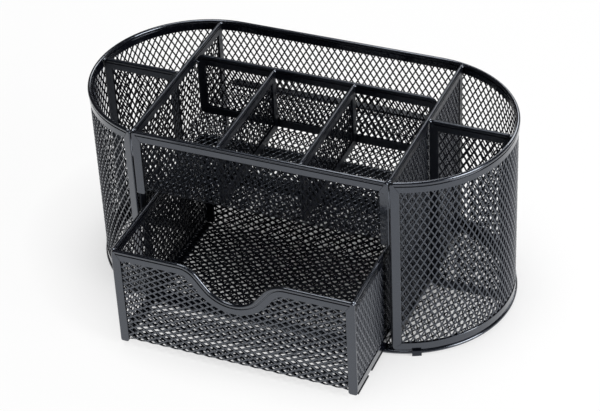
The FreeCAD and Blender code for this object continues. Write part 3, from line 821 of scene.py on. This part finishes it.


# Outer paint goes where light falls and inner paint where shade falls: painted light and painted
# shade.
for name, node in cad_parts.items():
    chosen = clip_paint if name in SMALL_PARTS else inner_shaded_strip
    paint(node, outer_lit_strip if name in OUTER_LIT_STRIPS else chosen)
for piece in sheets:
    if piece.name in FLAT_LIT_AND_SHADED_SHEETS:
        paint_lit_and_shaded(piece, side_outside)
    else:
        paint(piece, inner_shaded_mesh)
paint_lit_and_shaded(wall, wall_outside)
paint_lit_and_shaded(tray, tray_top)
paint_lit_and_shaded(drawer, drawer_outside)
paint(stand_welds, weld_paint)
paint(drawer_welds, weld_paint)
print("painted", len(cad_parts), "nodes,", len(sheets), "sheets and 2 sets of welds")

# %% [markdown]
# ## The floor
#
# The stand is on white paper.  More light would make the paper whiter, but it would wash out
# the black paint too.  So to a camera ray, and in reflections, a share of the paper glows, and
# the rest is lit by the lamps and keeps the stand's shadow.  That share grows with the
# distance from the stand: under it the paper is left to the shadow, and further off it is
# clean and white.

# %% The floor
FLOOR_SIZE = 6
PAPER_WHITE = (0.96, 0.96, 0.96, 1)
PAPER_ROUGHNESS = 0.9
PAPER_SHEEN = 0.1
UNDER_GLOW = 0.05             # share of the paper that glows under the stand
OPEN_GLOW = 0.92              # and far from it
GLOW_STARTS = 40 * MM         # distances from the darkest place
GLOW_FULL = 160 * MM
STAND_SHAPE = (1, 1.35, 1)    # the stand is longer than it is deep
DARKEST = Vector((0, 25, 0)) * MM       # under the tray, a little behind the middle

bpy.ops.mesh.primitive_plane_add(size=FLOOR_SIZE)
floor = bpy.context.object
floor.name = "floor"
paper = bpy.data.materials.new("paper")
paper.use_nodes = True
tree = paper.node_tree
shader = tree.nodes["Principled BSDF"]
shader.inputs["Base Color"].default_value = PAPER_WHITE
shader.inputs["Roughness"].default_value = PAPER_ROUGHNESS
shader.inputs["Specular IOR Level"].default_value = PAPER_SHEEN

# %% The paper's glow
place = tree.nodes.new("ShaderNodeTexCoord")
shift = tree.nodes.new("ShaderNodeVectorMath")
shift.operation = "SUBTRACT"
shift.inputs[1].default_value = DARKEST
tree.links.new(place.outputs["Object"], shift.inputs[0])
stretch = tree.nodes.new("ShaderNodeVectorMath")
stretch.operation = "MULTIPLY"
stretch.inputs[1].default_value = STAND_SHAPE
tree.links.new(shift.outputs["Vector"], stretch.inputs[0])
distance = tree.nodes.new("ShaderNodeVectorMath")
distance.operation = "LENGTH"
tree.links.new(stretch.outputs["Vector"], distance.inputs[0])
share = tree.nodes.new("ShaderNodeMapRange")
for label, value in (("From Min", GLOW_STARTS), ("From Max", GLOW_FULL),
                     ("To Min", UNDER_GLOW), ("To Max", OPEN_GLOW)):
    share.inputs[label].default_value = value
tree.links.new(distance.outputs["Value"], share.inputs["Value"])

path = tree.nodes.new("ShaderNodeLightPath")
seen = math_node(tree, "MAXIMUM", path.outputs["Is Camera Ray"], path.outputs["Is Glossy Ray"])
seen = math_node(tree, "MAXIMUM", seen, path.outputs["Is Transmission Ray"])
glow = tree.nodes.new("ShaderNodeEmission")
mix = tree.nodes.new("ShaderNodeMixShader")
tree.links.new(math_node(tree, "MULTIPLY", seen, share.outputs["Result"]), mix.inputs[0])
tree.links.new(shader.outputs[0], mix.inputs[1])
tree.links.new(glow.outputs[0], mix.inputs[2])
tree.links.new(mix.outputs[0], tree.nodes["Material Output"].inputs[0])
floor.data.materials.append(paper)
print("the paper glows fully", round(GLOW_FULL / MM), "mm from the darkest place")

# %% [markdown]
# ## The light
#
# Black paint shows the room, so the lamps are placed for what they do in a reflection.  An
# environment picture could light the stand as well, but it can't be moved lamp by lamp.  Most
# of the light falls straight down from a large soft lamp, so that the compartments are lit to
# their floor and the shadow stays under the stand.  A lamp low on the right draws the bright
# line on the slope of the dip and on the round end.  A wide, flat one behind the stand does
# the same on the beads that run from front to back.  The room itself stays dark.

# %% The light
ROOM_LIGHT = 0.06
LAMP_AIM = Vector((0, 0, 40)) * MM


def softbox(name, place, size, power):
    """A large soft lamp that points at the stand."""
    data = bpy.data.lights.new(name, "AREA")
    data.shape = "RECTANGLE"
    data.size, data.size_y = size
    data.energy = power
    lamp = bpy.data.objects.new(name, data)
    lamp.location = place
    lamp.rotation_euler = (LAMP_AIM - Vector(place)).to_track_quat("-Z", "Y").to_euler()
    bpy.context.scene.collection.objects.link(lamp)


room = bpy.data.worlds.new("room")
bpy.context.scene.world = room
room.use_nodes = True
background = room.node_tree.nodes["Background"]
background.inputs["Color"].default_value = (1, 1, 1, 1)
background.inputs["Strength"].default_value = ROOM_LIGHT
softbox("top_softbox", place=(-0.1, 0, 1.2), size=(0.9, 0.55), power=7.5)
softbox("side_softbox", place=(1.05, -0.2, 0.45), size=(0.55, 0.6), power=13)
softbox("back_softbox", place=(0.1, 0.95, 0.75), size=(0.9, 0.25), power=3.5)
bpy.context.scene.view_settings.view_transform = "Standard"
print("room light", ROOM_LIGHT, "and 3 lamps")
